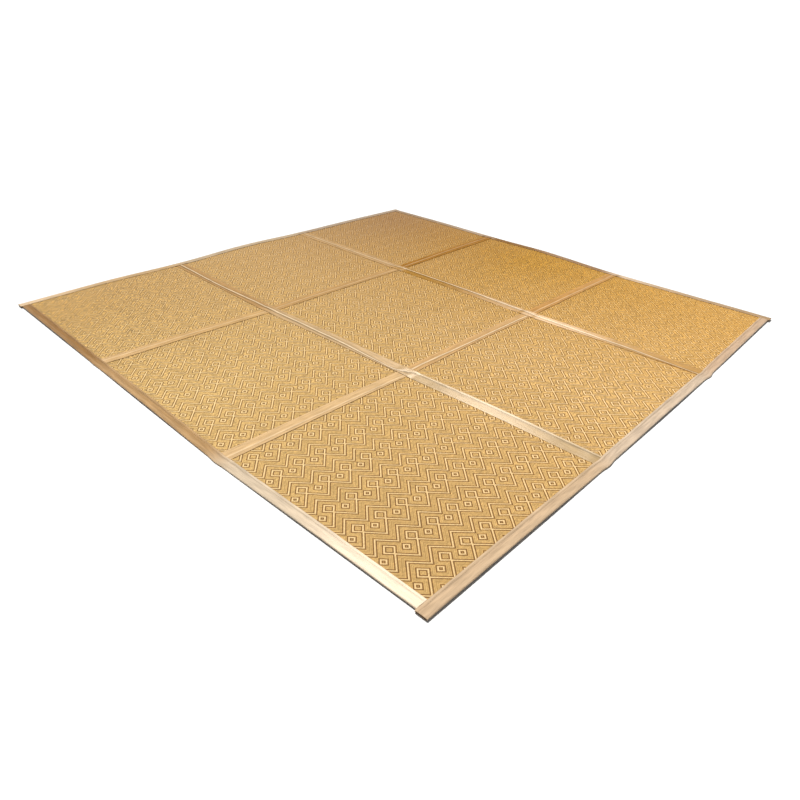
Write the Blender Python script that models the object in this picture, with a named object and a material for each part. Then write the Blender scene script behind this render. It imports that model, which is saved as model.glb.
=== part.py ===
# Folding rattan mat: nine woven panels in three rows of three, joined by sewn hinge tapes and
# bound with a folded tape all round. Metres, +Z up, origin on the floor under the mat's middle.
# The mat is laid out with a coordinate "across" along X and "along" in Y, both from 0 to MAT_SIDE
# on an even grid. place() then moves each point to where the uneven real mat has it.

import math

import bmesh
import bpy

# Driving sizes
MAT_SIDE = 2.0                  # nominal side of the square mat
PANEL_COUNT = 3                 # panels along each side
PANEL_THICK = 0.0026            # woven sheet
TAPE_THICK = 0.0010             # sewn tape, folded double at its edges
CLEARANCE = 0.0003              # kept between pieces that touch
BINDING_WIDTH = 0.030           # what shows of the rim tape on top, and as much below
LONG_TAPE_WIDTH = 0.044         # two tapes that run the whole way along Y
SHORT_TAPE_WIDTH = 0.040        # six tapes along X, each between two long ones or a rim
PANEL_GAP = 0.008               # between the edges of two panels, under a hinge tape
TUCK = 0.012                    # how far a tape's end goes under the tape that crosses it
TAPE_CROWN = 0.0011             # soft rise of a hinge tape beside its crease
STAND_OUT = 0.005               # how far a binding's own end stands past the next side

# How the raised places fall off
LEVEL_STRIP = 0.036             # beside a rim or a seam the sheet is level across its edge
LIFT_REACH = 0.180              # from there a raised edge is down again at this distance
FLANGE_REACH = 0.090            # the sheet is back on the floor here, past the lower rim tape
CORNER_REACH = 0.333            # a raised corner is down again at this distance
BULGE_REACH = 0.090             # a bulge of the outline fades inwards over this distance
BULGE_HALF = 0.036              # and along the rim over this distance
OVERLAP_MARGIN = 0.002          # level stretch past the edges of a tape's end that is crossed
NEAR_STATION = 0.0025           # stations closer than this count as one

MM = 0.001
PITCH = MAT_SIDE / PANEL_COUNT
HALF = MAT_SIDE / 2
LAYER = TAPE_THICK + CLEARANCE  # one thickness of tape and the gap to what it lies on
PANEL_EDGE = LAYER              # the sheet's edge inside the fold of the rim tape
FOLD_ROUND = TAPE_THICK / 2     # how far the rim tape's fold is cut back above and below
ROUNDING = 1e-9                 # slack when a station is compared with a tape's end

# Distances of a panel's mesh lines from the seam or rim beside them; its edge comes first
PANEL_STATIONS = (LEVEL_STRIP, FLANGE_REACH, LIFT_REACH, PITCH / 2)

# Where the corners of the panels lie, in mm from an even grid of 2 m:
# (number along X, number along Y): (shift in X, shift in Y)
KNOT_SHIFTS = {
    (0, 0): (13, 5), (1, 0): (25, -6), (2, 0): (26, -9), (3, 0): (-7, 0),
    (0, 1): (-5, 26), (1, 1): (5, 9), (2, 1): (5, -3), (3, 1): (-8, -21),
    (0, 2): (1, 42), (1, 2): (-19, 11), (2, 2): (-3, -1), (3, 2): (7, -1),
    (0, 3): (6, -8), (1, 3): (-15, 8), (2, 3): (-9, 13), (3, 3): (-5, -5),
}

# Heights in mm at mid panel of each line of the grid; lines 0 and 3 are the rims.
# Lines along Y, from -X to +X: height in the panel row at -Y, the middle one, the one at +Y
LIFTS_ALONG_Y = (
    (2.0, 2.5, 3.0),
    (3.5, 2.0, 0.5),
    (2.0, 2.5, 1.5),
    (1.0, 6.0, 2.0),
)
# Lines along X, from -Y to +Y: height in the panel column at -X, the middle one, the one at +X
LIFTS_ALONG_X = (
    (3.0, 3.0, 2.0),
    (1.5, 2.0, 1.0),
    (1.5, 0.5, 1.0),
    (5.0, 7.0, 1.5),
)
# Corners of the mat: height in mm
CORNER_LIFTS = {(0, 0): 2.0, (3, 0): 2.5, (0, 3): 2.0, (3, 3): 1.0}

# The rim stands out over the ends of the hinge tapes: (line is along, its number, end): mm
END_BULGES = {
    ("y", 1, 0): 3.0, ("y", 2, 0): 4.0,
    ("x", 1, 0): 2.0, ("x", 2, 0): 1.0,
}

# Crease of each hinge tape, as a share of its width from its middle, one value a panel
LONG_CREASES = ((0.16, -0.16, -0.10), (-0.12, 0.02, 0.05))

# Long tape across its width: share of the half width beside the crease, share of the crown.
# The rows are mirrored to the other side of the crease.
LONG_PROFILE = ((1.0, 0.0), (0.76, 0.0), (0.42, 1.0))
CREASE_CROWN = 0.25             # height left at the crease, as a share of the crown

# Short tape across its width, from one edge to the other: the same two shares
SHORT_PROFILE = ((-1.0, 0.0), (-0.5, 0.6), (0.0, CREASE_CROWN), (0.5, 0.6), (1.0, 0.0))

# Colour, roughness and metallic value of each kind of piece
FINISHES = {
    "panel": ((0.66, 0.42, 0.14), 0.55, 0.0),
    "binding": ((0.80, 0.62, 0.42), 0.42, 0.0),
    "long_tape": ((0.84, 0.68, 0.46), 0.40, 0.0),
    "short_tape": ((0.72, 0.52, 0.33), 0.50, 0.0),
}


def fade(distance, level, reach):
    # 1 up to the level distance, then smoothly down to 0 at the reach
    share = min(max((distance - level) / (reach - level), 0.0), 1.0)
    return (1.0 - share) ** 2 * (1.0 + 2.0 * share)


def section_of(value):
    # number of the panel that a coordinate lies in, and the share of it that is passed
    number = min(max(int(value / PITCH), 0), PANEL_COUNT - 1)
    return number, value / PITCH - number


def swell(share):
    return math.sin(math.pi * min(max(share, 0.0), 1.0)) ** 2


def rise(across, along):
    # height of the sheet's underside over the floor that comes from its unevenness
    column, across_share = section_of(across)
    row, along_share = section_of(along)
    height = 0.0
    for number in range(PANEL_COUNT + 1):
        line = number * PITCH
        lift = LIFTS_ALONG_Y[number][row] * swell(along_share)
        height += lift * fade(abs(across - line), LEVEL_STRIP, LIFT_REACH)
        lift = LIFTS_ALONG_X[number][column] * swell(across_share)
        height += lift * fade(abs(along - line), LEVEL_STRIP, LIFT_REACH)
    for (corner_across, corner_along), lift in CORNER_LIFTS.items():
        near_across = fade(abs(across - corner_across * PITCH), LEVEL_STRIP, CORNER_REACH)
        near_along = fade(abs(along - corner_along * PITCH), LEVEL_STRIP, CORNER_REACH)
        height += lift * near_across * near_along
    return height * MM


def rim_distance(across, along):
    return min(across, MAT_SIDE - across, along, MAT_SIDE - along)


def sheet_under(across, along):
    # the panels' underside: on the floor, or raised, and over the lower half of the binding
    over_flange = LAYER * fade(rim_distance(across, along), LEVEL_STRIP, FLANGE_REACH)
    return rise(across, along) + over_flange


def sheet_top(across, along):
    return sheet_under(across, along) + PANEL_THICK


def bulge(kind, position, distance, end):
    # outward push of the rim over the ends of the hinge tapes that meet it
    push = 0.0
    for (line_kind, number, line_end), size in END_BULGES.items():
        if line_kind == kind and line_end == end:
            near = max(0.0, 1.0 - abs(position - number * PITCH) / BULGE_HALF)
            push += size * MM * near * fade(distance, LEVEL_STRIP, BULGE_REACH)
    return push


def place(across, along):
    # from the even grid to the uneven mat, between the four nearest knots
    column, across_share = section_of(across)
    row, along_share = section_of(along)
    shift = [0.0, 0.0]
    for knot_across, weight_across in ((column, 1 - across_share), (column + 1, across_share)):
        for knot_along, weight_along in ((row, 1 - along_share), (row + 1, along_share)):
            knot = KNOT_SHIFTS[(knot_across, knot_along)]
            for axis in (0, 1):
                shift[axis] += knot[axis] * MM * weight_across * weight_along
    x = across - HALF + shift[0] - bulge("x", along, across, 0)
    y = along - HALF + shift[1] - bulge("y", across, along, 0)
    return x, y


def finish(kind):
    color, roughness, metallic = FINISHES[kind]
    material = bpy.data.materials.get(kind) or bpy.data.materials.new(kind)
    material.use_nodes = True
    shader = material.node_tree.nodes["Principled BSDF"]
    shader.inputs["Base Color"].default_value = (*color, 1.0)
    shader.inputs["Roughness"].default_value = roughness
    shader.inputs["Metallic"].default_value = metallic
    material.diffuse_color = (*color, 1.0)
    return material


def make_sheet(name, kind, columns, rows, inner, outer):
    # A sheet starts as a grid of columns by rows; inner(column, row) and outer(column, row)
    # give the place of each grid point on its two faces.
    shape = bmesh.new()
    bmesh.ops.create_grid(shape, x_segments=columns - 1, y_segments=rows - 1, size=1.0)
    column_layer = shape.verts.layers.int.new("column")
    row_layer = shape.verts.layers.int.new("row")
    for vert in shape.verts:
        vert[column_layer] = round((vert.co.x + 1) / 2 * (columns - 1))
        vert[row_layer] = round((vert.co.y + 1) / 2 * (rows - 1))
    inner_verts = list(shape.verts)
    raised = bmesh.ops.extrude_face_region(shape, geom=list(shape.faces))["geom"]
    outer_verts = [item for item in raised if isinstance(item, bmesh.types.BMVert)]
    for verts, position in ((inner_verts, inner), (outer_verts, outer)):
        for vert in verts:
            vert.co = position(vert[column_layer], vert[row_layer])
    bmesh.ops.triangulate(shape, faces=list(shape.faces), quad_method="FIXED")
    bmesh.ops.recalc_face_normals(shape, faces=list(shape.faces))
    mesh = bpy.data.meshes.new(name)
    shape.to_mesh(mesh)
    shape.free()
    mesh.materials.append(finish(kind))
    piece = bpy.data.objects.new(name, mesh)
    bpy.context.scene.collection.objects.link(piece)
    return piece


def panel_lines(number):
    # mesh lines of a panel in one direction, from its low edge to its high one
    low, high = number * PITCH, (number + 1) * PITCH
    low_edge = PANEL_EDGE if number == 0 else PANEL_GAP / 2
    high_edge = PANEL_EDGE if number == PANEL_COUNT - 1 else PANEL_GAP / 2
    lines = [low + distance for distance in (low_edge, *PANEL_STATIONS)]
    lines += [high - distance for distance in reversed((high_edge, *PANEL_STATIONS[:-1]))]
    return lines


def make_panel(column, row):
    across_lines, along_lines = panel_lines(column), panel_lines(row)

    def under(i, j):
        across, along = across_lines[i], along_lines[j]
        return (*place(across, along), sheet_under(across, along))

    def top(i, j):
        across, along = across_lines[i], along_lines[j]
        return (*place(across, along), sheet_top(across, along))

    name = f"panel_{column + 1}_{row + 1}"
    return make_sheet(name, "panel", len(across_lines), len(along_lines), under, top)


def tape_lines(start, end, crossing_width, crossings):
    # stations along a tape: the panels' own lines, and those where it goes over other tapes
    marks = [start, end]
    for number in range(PANEL_COUNT):
        for distance in PANEL_STATIONS:
            marks += [number * PITCH + distance, (number + 1) * PITCH - distance]
    half_level = crossing_width / 2 + OVERLAP_MARGIN
    for number in crossings:
        marks += [number * PITCH - half_level, number * PITCH, number * PITCH + half_level]
    lines = []
    for mark in sorted(marks):
        inside = start - ROUNDING <= mark <= end + ROUNDING
        if inside and (not lines or mark - lines[-1] > NEAR_STATION):
            lines.append(mark)
    lines[-1] = end
    return lines


def step_over(position, crossing_width, crossings):
    # rise of a tape over the ends of the tapes that it crosses
    half_level = crossing_width / 2 + OVERLAP_MARGIN
    near = min((abs(position - number * PITCH) for number in crossings), default=MAT_SIDE)
    share = (near - half_level) / (LEVEL_STRIP - half_level)
    return LAYER * (1.0 - min(max(share, 0.0), 1.0))


def tape_columns(crease):
    # offsets over the half width and crown shares of a hinge tape from side to side
    left = [(crease - (crease + 1) * part, crown) for part, crown in LONG_PROFILE]
    right = [(crease + (1 - crease) * part, crown) for part, crown in reversed(LONG_PROFILE)]
    return left + [(crease, CREASE_CROWN)] + right


def make_long_tape(number):
    # along Y over the seam between two columns of panels, from rim to rim
    middle = number * PITCH
    half_width = LONG_TAPE_WIDTH / 2
    end_inset = BINDING_WIDTH - TUCK
    crossings = range(1, PANEL_COUNT)
    lines = tape_lines(end_inset, MAT_SIDE - end_inset, SHORT_TAPE_WIDTH, crossings)
    creases = LONG_CREASES[number - 1]

    def base(i, j, lift):
        along = lines[j]
        row, share = section_of(along)
        blend = min(share, 1 - share) * PITCH / LEVEL_STRIP
        crease = 2 * creases[row] * min(blend, 1.0)
        offset, crown_share = tape_columns(crease)[i]
        across = middle + offset * half_width
        full_crown = 1 - fade(rim_distance(middle, along), LEVEL_STRIP, FLANGE_REACH)
        height = max(sheet_top(middle - PANEL_GAP, along), sheet_top(middle + PANEL_GAP, along))
        height += CLEARANCE + TAPE_CROWN * crown_share * full_crown
        height += step_over(along, SHORT_TAPE_WIDTH, crossings)
        return (*place(across, along), height + lift)

    return make_sheet(
        f"long_tape_{number}", "long_tape", len(tape_columns(0)), len(lines),
        lambda i, j: base(i, j, 0.0), lambda i, j: base(i, j, TAPE_THICK))


def make_short_tape(column, number):
    # along X over the seam between two rows of panels, its ends under a long tape or the rim
    middle = number * PITCH
    half_width = SHORT_TAPE_WIDTH / 2
    low_inset = BINDING_WIDTH - TUCK if column == 0 else LONG_TAPE_WIDTH / 2 - TUCK
    high_inset = BINDING_WIDTH - TUCK if column == PANEL_COUNT - 1 else LONG_TAPE_WIDTH / 2 - TUCK
    start, end = column * PITCH + low_inset, (column + 1) * PITCH - high_inset
    lines = tape_lines(start, end, 0.0, ())

    def base(i, j, lift):
        across = lines[j]
        offset, crown_share = SHORT_PROFILE[i]
        along = middle + offset * half_width
        share = across / PITCH - column
        end_distance = min(share, 1 - share) * PITCH
        full_crown = 1 - fade(end_distance, LEVEL_STRIP, FLANGE_REACH)
        height = max(sheet_top(across, middle - PANEL_GAP), sheet_top(across, middle + PANEL_GAP))
        height += CLEARANCE + TAPE_CROWN * crown_share * full_crown
        return (*place(across, along), height + lift)

    return make_sheet(
        f"short_tape_{column + 1}_{number}", "short_tape", len(SHORT_PROFILE), len(lines),
        lambda i, j: base(i, j, 0.0), lambda i, j: base(i, j, TAPE_THICK))


# Each side of the rim: direction that it runs in, whether it is at the low or the high end of
# the other direction, where it starts and ends, and the width of the hinge tapes that meet it
BUTT = BINDING_WIDTH + CLEARANCE
SIDES = {
    "front": ("x", "low", -STAND_OUT, MAT_SIDE - BUTT, LONG_TAPE_WIDTH),
    "right": ("y", "high", -STAND_OUT, MAT_SIDE - BUTT, SHORT_TAPE_WIDTH),
    "back": ("x", "high", -STAND_OUT, MAT_SIDE, LONG_TAPE_WIDTH),
    "left": ("y", "low", BUTT, MAT_SIDE - BUTT, SHORT_TAPE_WIDTH),
}

# Section of the folded rim tape, from its lower edge round the fold to its upper edge.
# Inner and outer face: (distance from the rim line, height over the sheet's underside);
# the last value says whether the point rises over the ends of the hinge tapes.
OVER, UNDER = PANEL_THICK + CLEARANCE, -CLEARANCE
BINDING_PROFILE = (
    ((BINDING_WIDTH, UNDER), (BINDING_WIDTH, UNDER - TAPE_THICK), False),
    ((TAPE_THICK, UNDER), (FOLD_ROUND, UNDER - TAPE_THICK), False),
    ((TAPE_THICK, PANEL_THICK / 2), (0.0, PANEL_THICK / 2), False),
    ((TAPE_THICK, OVER), (FOLD_ROUND, OVER + TAPE_THICK), False),
    ((BINDING_WIDTH - TUCK - 2 * CLEARANCE, OVER), (BINDING_WIDTH - TUCK, OVER + TAPE_THICK), True),
    ((BINDING_WIDTH, OVER), (BINDING_WIDTH, OVER + TAPE_THICK), True),
)


def make_binding(side):
    direction, level, start, end, crossing_width = SIDES[side]
    crossings = range(1, PANEL_COUNT)
    lines = tape_lines(start, end, crossing_width, crossings)

    def point(position, distance, height, steps):
        inward = distance if level == "low" else MAT_SIDE - distance
        across, along = (position, inward) if direction == "x" else (inward, position)
        low, high = BINDING_WIDTH / 2, MAT_SIDE - BINDING_WIDTH / 2
        inside = (min(max(across, low), high), min(max(along, low), high))
        z = sheet_under(*inside) + height
        if steps:
            z += step_over(position, crossing_width, crossings)
        return (*place(across, along), z)

    def inner(i, j):
        (distance, height), _, steps = BINDING_PROFILE[i]
        return point(lines[j], distance, height, steps)

    def outer(i, j):
        _, (distance, height), steps = BINDING_PROFILE[i]
        return point(lines[j], distance, height, steps)

    return make_sheet(
        f"binding_{side}", "binding", len(BINDING_PROFILE), len(lines), inner, outer)


def main():
    for old in list(bpy.data.objects):
        bpy.data.objects.remove(old, do_unlink=True)
    for column in range(PANEL_COUNT):
        for row in range(PANEL_COUNT):
            make_panel(column, row)
    for number in range(1, PANEL_COUNT):
        make_long_tape(number)
        for column in range(PANEL_COUNT):
            make_short_tape(column, number)
    for side in SIDES:
        make_binding(side)


main()
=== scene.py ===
# Folding rattan mat: nine woven panels, sewn hinge tapes and a folded rim tape.
# Metres, Z up. "across" runs along X and "along" runs along Y, both from 0 to the mat's side.
import math

import bmesh
import bpy
from mathutils import Matrix, Vector, noise


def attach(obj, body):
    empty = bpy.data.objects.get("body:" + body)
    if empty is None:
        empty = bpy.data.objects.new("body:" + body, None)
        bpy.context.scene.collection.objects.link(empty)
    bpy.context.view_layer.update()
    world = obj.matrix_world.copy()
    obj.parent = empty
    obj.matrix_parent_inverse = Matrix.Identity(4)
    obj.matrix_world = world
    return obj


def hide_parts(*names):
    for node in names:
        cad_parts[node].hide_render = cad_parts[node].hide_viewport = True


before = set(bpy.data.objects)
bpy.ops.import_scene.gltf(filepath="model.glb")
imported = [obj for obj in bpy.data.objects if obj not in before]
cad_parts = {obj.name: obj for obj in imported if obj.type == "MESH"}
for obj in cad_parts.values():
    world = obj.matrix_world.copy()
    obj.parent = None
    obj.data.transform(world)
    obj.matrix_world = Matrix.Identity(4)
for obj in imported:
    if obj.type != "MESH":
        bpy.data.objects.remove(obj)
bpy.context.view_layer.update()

mm = 0.001

# The lay of the whole mat, the same as the solids have
matLay = {
    "side": 2.0,
    "panelCount": 3,
    "sheetThick": 2.6 * mm,
    "tapeThick": 1.0 * mm,
    "clearance": 0.3 * mm,
    "rimWidth": 30 * mm,
    "longWidth": 44 * mm,
    "shortWidth": 40 * mm,
    "panelGap": 8 * mm,
    "tuck": 12 * mm,
    "standOut": 5 * mm,
    "levelStrip": 36 * mm,
    "liftReach": 180 * mm,
    "flangeReach": 90 * mm,
    "cornerReach": 333 * mm,
    "bulgeReach": 90 * mm,
    "bulgeHalf": 36 * mm,
    "overlapMargin": 2 * mm,
    "waveHeight": 0.9 * mm,      # faint waves of a sheet that has been rolled
    "waveLength": 210 * mm,
}
side = matLay["side"]
pitch = side / matLay["panelCount"]
layer = matLay["tapeThick"] + matLay["clearance"]

# Where the panels' corners lie off an even grid, in mm: (shift in X, shift in Y)
knotShifts = {
    (0, 0): (13, 5), (1, 0): (25, -6), (2, 0): (26, -9), (3, 0): (-7, 0),
    (0, 1): (-5, 26), (1, 1): (5, 9), (2, 1): (5, -3), (3, 1): (-8, -21),
    (0, 2): (1, 42), (1, 2): (-19, 11), (2, 2): (-3, -1), (3, 2): (7, -1),
    (0, 3): (6, -8), (1, 3): (-15, 8), (2, 3): (-9, 13), (3, 3): (-5, -5),
}
# Heights in mm at mid panel of the grid's lines, rims included
liftsAlongY = ((2.0, 2.5, 3.0), (3.5, 2.0, 0.5), (2.0, 2.5, 1.5), (1.0, 6.0, 2.0))
liftsAlongX = ((3.0, 3.0, 2.0), (1.5, 2.0, 1.0), (1.5, 0.5, 1.0), (5.0, 7.0, 1.5))
cornerLifts = {(0, 0): 2.0, (3, 0): 2.5, (0, 3): 2.0, (3, 3): 1.0}
endBulges = {("y", 1, 0): 3.0, ("y", 2, 0): 4.0, ("x", 1, 0): 2.0, ("x", 2, 0): 1.0}


def fade(distance, level, reach):
    # 1 up to the level distance, then smoothly down to 0 at the reach
    share = min(max((distance - level) / (reach - level), 0.0), 1.0)
    return (1.0 - share) ** 2 * (1.0 + 2.0 * share)


def sectionOf(value):
    number = min(max(int(value / pitch), 0), matLay["panelCount"] - 1)
    return number, value / pitch - number


def swell(share):
    return math.sin(math.pi * min(max(share, 0.0), 1.0)) ** 2


def rise(across, along):
    # height of the sheet's underside over the floor
    column, acrossShare = sectionOf(across)
    row, alongShare = sectionOf(along)
    level, reach = matLay["levelStrip"], matLay["liftReach"]
    swellAlong, swellAcross = swell(alongShare), swell(acrossShare)
    height = 0.0
    for number in range(matLay["panelCount"] + 1):
        line = number * pitch
        if abs(across - line) < reach:
            height += liftsAlongY[number][row] * swellAlong * fade(abs(across - line), level, reach)
        if abs(along - line) < reach:
            height += liftsAlongX[number][column] * swellAcross * fade(abs(along - line), level, reach)
    for (cornerAcross, cornerAlong), lift in cornerLifts.items():
        gapAcross, gapAlong = abs(across - cornerAcross * pitch), abs(along - cornerAlong * pitch)
        if max(gapAcross, gapAlong) < matLay["cornerReach"]:
            height += (lift * fade(gapAcross, level, matLay["cornerReach"])
                       * fade(gapAlong, level, matLay["cornerReach"]))
    wave = noise.noise(Vector((across, along, 0.0)) / matLay["waveLength"])
    return height * mm + matLay["waveHeight"] * max(wave, 0.0)


def rimDistance(across, along):
    return min(across, side - across, along, side - along)


def sheetUnder(across, along):
    overFlange = layer * fade(rimDistance(across, along), matLay["levelStrip"], matLay["flangeReach"])
    return rise(across, along) + overFlange


def sheetTop(across, along):
    return sheetUnder(across, along) + matLay["sheetThick"]


def bulge(kind, position, distance):
    # outward push of the rim over the ends of the hinge tapes
    push = 0.0
    for (lineKind, number, end), size in endBulges.items():
        if lineKind == kind:
            near = max(0.0, 1.0 - abs(position - number * pitch) / matLay["bulgeHalf"])
            near = near * near * (3 - 2 * near)
            push += size * mm * near * fade(distance, matLay["levelStrip"], matLay["bulgeReach"])
    return push


def place(across, along):
    # from the even grid to the uneven mat, between the four nearest corners of panels
    column, acrossShare = sectionOf(across)
    row, alongShare = sectionOf(along)
    shift = [0.0, 0.0]
    for knotAcross, weightAcross in ((column, 1 - acrossShare), (column + 1, acrossShare)):
        for knotAlong, weightAlong in ((row, 1 - alongShare), (row + 1, alongShare)):
            knot = knotShifts[(knotAcross, knotAlong)]
            weight = weightAcross * weightAlong * mm
            shift[0] += knot[0] * weight
            shift[1] += knot[1] * weight
    x = across - side / 2 + shift[0] - bulge("x", along, across)
    y = along - side / 2 + shift[1] - bulge("y", across, along)
    return x, y


# Camera, matched to the corners of the panels
camera = {
    "place": (-1.6118, -1.4702, 0.9673),
    "heading": 47.685,     # degrees from +Y towards +X
    "down": 31.840,        # degrees below level
    "roll": 2.128,
    "focalPixels": 629.1,
    "picturePixels": 800,
    "sensor": 36,          # mm
}


def addCamera():
    heading, down, roll = (math.radians(camera[key]) for key in ("heading", "down", "roll"))
    forward = Vector((math.cos(down) * math.sin(heading), math.cos(down) * math.cos(heading),
                      -math.sin(down)))
    right = Vector((math.cos(heading), -math.sin(heading), 0.0))
    up = right.cross(forward)
    turnedRight = right * math.cos(roll) + up * math.sin(roll)
    turnedUp = up * math.cos(roll) - right * math.sin(roll)
    lens = bpy.data.cameras.new("photoCamera")
    lens.sensor_width = camera["sensor"]
    lens.lens = camera["focalPixels"] / camera["picturePixels"] * camera["sensor"]
    viewer = bpy.data.objects.new("photoCamera", lens)
    turn = Matrix((turnedRight, turnedUp, -forward)).transposed()
    viewer.matrix_world = Matrix.Translation(camera["place"]) @ turn.to_4x4()
    bpy.context.scene.collection.objects.link(viewer)
    bpy.context.scene.camera = viewer


addCamera()
print("camera is set")


def hexColor(code):
    # sRGB hex to linear RGBA
    parts = [int(code[k:k + 2], 16) / 255 for k in (1, 3, 5)]
    linear = [c / 12.92 if c <= 0.04045 else ((c + 0.055) / 1.055) ** 2.4 for c in parts]
    return (*linear, 1.0)


def addNode(material, kind, settings=None, links=None):
    # adds a node; a setting names a socket by name or number, or else a property
    tree = material.node_tree
    node = tree.nodes.new(kind)
    for name, value in (settings or {}).items():
        if isinstance(name, int):
            node.inputs[name].default_value = value
        elif hasattr(node, name):
            setattr(node, name, value)
        else:
            node.inputs[name].default_value = value
    for name, source in (links or {}).items():
        tree.links.new(source, node.inputs[name])
    return node


def newMaterial(name):
    material = bpy.data.materials.new(name)
    material.use_nodes = True
    material.node_tree.nodes.clear()
    return material


def finishMaterial(material, shader):
    addNode(material, "ShaderNodeOutputMaterial", {}, {"Surface": shader.outputs[0]})
    return material


def setRamp(node, stops):
    # stops: (position, hex colour)
    ramp = node.color_ramp
    while len(ramp.elements) > 1:
        ramp.elements.remove(ramp.elements[-1])
    ramp.elements[0].position, ramp.elements[0].color = stops[0][0], hexColor(stops[0][1])
    for position, code in stops[1:]:
        ramp.elements.new(position).color = hexColor(code)


def calculate(material, operation, *values):
    # one arithmetic step on sockets and numbers
    settings, links = {"operation": operation}, {}
    for number, value in enumerate(values):
        if isinstance(value, (int, float)):
            settings[number] = value
        else:
            links[number] = value
    return addNode(material, "ShaderNodeMath", settings, links).outputs[0]


# The figure of the weave, drawn on one repeat: u across, v along, from the small diamond's column
figure = {
    "repeat": (65.7 * mm, 90.0 * mm),
    "lowZigzag": (-37.0 * mm, -1.0 * mm),     # v in its valleys and on its peaks
    "highZigzag": (21.0 * mm, 56.5 * mm),
    "smallDiamond": (-1.5 * mm, 7.8 * mm, 8.0 * mm),   # v of its middle, half width, half height
    "largeDiamond": (15.0 * mm, 14.5 * mm, 15.0 * mm),
    # profile of a raised strand: offset from its middle, height over the sheet
    "strandProfile": ((-1.7, -0.3), (-1.1, 0.30), (0.0, 0.50), (1.1, 0.30), (1.7, -0.3)),
    "underTape": 2.0 * mm,     # the strands end this far under a tape's edge
    "copiesAcross": (-1, 11),  # repeats laid over a panel before they are cut off
    "copiesAlong": (-2, 9),
}

# How the figure lies in each panel: the first small diamond across and along, the repeat across
# and along, all in mm, then the lean of its columns and of its rows
figureLay = {
    (0, 0): (43.4, 65.9, 65.7, 90.0, -0.001, -0.015),
    (1, 0): (56.7, 30.8, 66.8, 88.9, 0.003, -0.035),
    (2, 0): (40.0, 41.0, 66.2, 90.5, 0.004, -0.020),
    (0, 1): (49.1, 53.1, 65.2, 90.4, 0.004, 0.001),
    (1, 1): (30.0, 30.2, 65.7, 93.5, 0.024, -0.018),
    (2, 1): (36.0, 52.0, 66.0, 90.5, 0.008, -0.015),
    (0, 2): (46.0, 44.0, 66.2, 91.5, -0.004, -0.012),
    (1, 2): (52.0, 38.0, 66.5, 91.5, -0.004, -0.016),
    (2, 2): (44.0, 60.0, 66.4, 91.5, -0.004, -0.014),
}


def figurePoint(panel, across, along):
    # place on the figure's chart of a point of the mat
    startAcross, startAlong, repeatAcross, repeatAlong, leanColumns, leanRows = figureLay[panel]
    a = across - panel[0] * pitch - startAcross * mm
    b = along - panel[1] * pitch - startAlong * mm
    u = (a - leanColumns * b) * figure["repeat"][0] / (repeatAcross * mm)
    v = (b - leanRows * a) * figure["repeat"][1] / (repeatAlong * mm)
    return u, v


def matPoint(panel, u, v):
    # the other way round
    startAcross, startAlong, repeatAcross, repeatAlong, leanColumns, leanRows = figureLay[panel]
    a = u * repeatAcross * mm / figure["repeat"][0]
    b = v * repeatAlong * mm / figure["repeat"][1]
    share = 1 / (1 - leanColumns * leanRows)
    across = (a + leanColumns * b) * share + panel[0] * pitch + startAcross * mm
    along = (b + leanRows * a) * share + panel[1] * pitch + startAlong * mm
    return across, along


# Golden rattan strands in a figured weave; dark edges and pale floats give the eye the figure
rattan = {
    "bands": (                    # colour by distance from the figure's nearest line, in mm
        (0.0, "#FFD492"), (1.3, "#FACD88"), (2.2, "#7C5022"), (3.9, "#7C5022"), (5.0, "#CEA05C"),
        (6.2, "#E8BC79"), (7.4, "#B08448"), (8.8, "#E6BB78"), (10.2, "#B2864A"), (11.6, "#E4B875"),
    ),
    "bandReach": 14.0,            # mm, where the ramp of bands ends
    "streakWidth": 1.9 * mm,      # one strand
    "streakLength": 60 * mm,
    "clouds": (8 * mm, 4 * mm),   # sizes of the uneven tone of the strands
    "roughness": 0.60,
    "gloss": "#FFE4B8",
    # tint and unevenness round each panel's middle; the tints are partly the weave's own tone and partly
    # painted shade, darkest on the far corner panel
    "tintAndShade": {
        (0, 0): ("#EDF0ED", 0.7), (1, 0): ("#FCFFFF", 1.2), (2, 0): ("#F9F1CE", 1.2),
        (0, 1): ("#F2F8F2", 1.0), (1, 1): ("#EBECE4", 1.1), (2, 1): ("#E3D592", 1.6),
        (0, 2): ("#E2E1CA", 1.7), (1, 2): ("#E4E3D9", 0.9), (2, 2): ("#CFC4AD", 0.7),
    },
    "tintShadeEnd": 0.25,             # share of a panel by which it goes on past the outer middles
}


def figureDistance(material, uv):
    # distance in metres from the nearest line of the figure, from the chart's u and v
    width, height = figure["repeat"]
    parts = addNode(material, "ShaderNodeSeparateXYZ", {}, {0: uv})
    fromSmall = calculate(material, "PINGPONG", parts.outputs[0], width / 2)
    fromLarge = calculate(material, "SUBTRACT", width / 2, fromSmall)
    nearest = None
    for key in ("lowZigzag", "highZigzag"):
        valley, peak = figure[key]
        slope = (peak - valley) / (width / 2)
        line = calculate(material, "MULTIPLY_ADD", fromSmall, slope, valley)
        gap = calculate(material, "SUBTRACT", parts.outputs[1], line)
        gap = calculate(material, "PINGPONG", gap, height / 2)
        gap = calculate(material, "MULTIPLY", gap, math.cos(math.atan(slope)))
        nearest = gap if nearest is None else calculate(material, "MINIMUM", nearest, gap)
    for key, sideways in (("smallDiamond", fromSmall), ("largeDiamond", fromLarge)):
        middle, halfWidth, halfHeight = figure[key]
        upward = calculate(material, "SUBTRACT", parts.outputs[1], middle)
        upward = calculate(material, "PINGPONG", upward, height / 2)
        across = calculate(material, "DIVIDE", sideways, halfWidth)
        both = calculate(material, "MULTIPLY_ADD", upward, 1 / halfHeight, across)
        ring = calculate(material, "ABSOLUTE", calculate(material, "SUBTRACT", both, 1.0))
        scale = halfWidth * halfHeight / math.hypot(halfWidth, halfHeight)
        nearest = calculate(material, "MINIMUM", nearest, calculate(material, "MULTIPLY", ring, scale))
    return nearest


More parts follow.
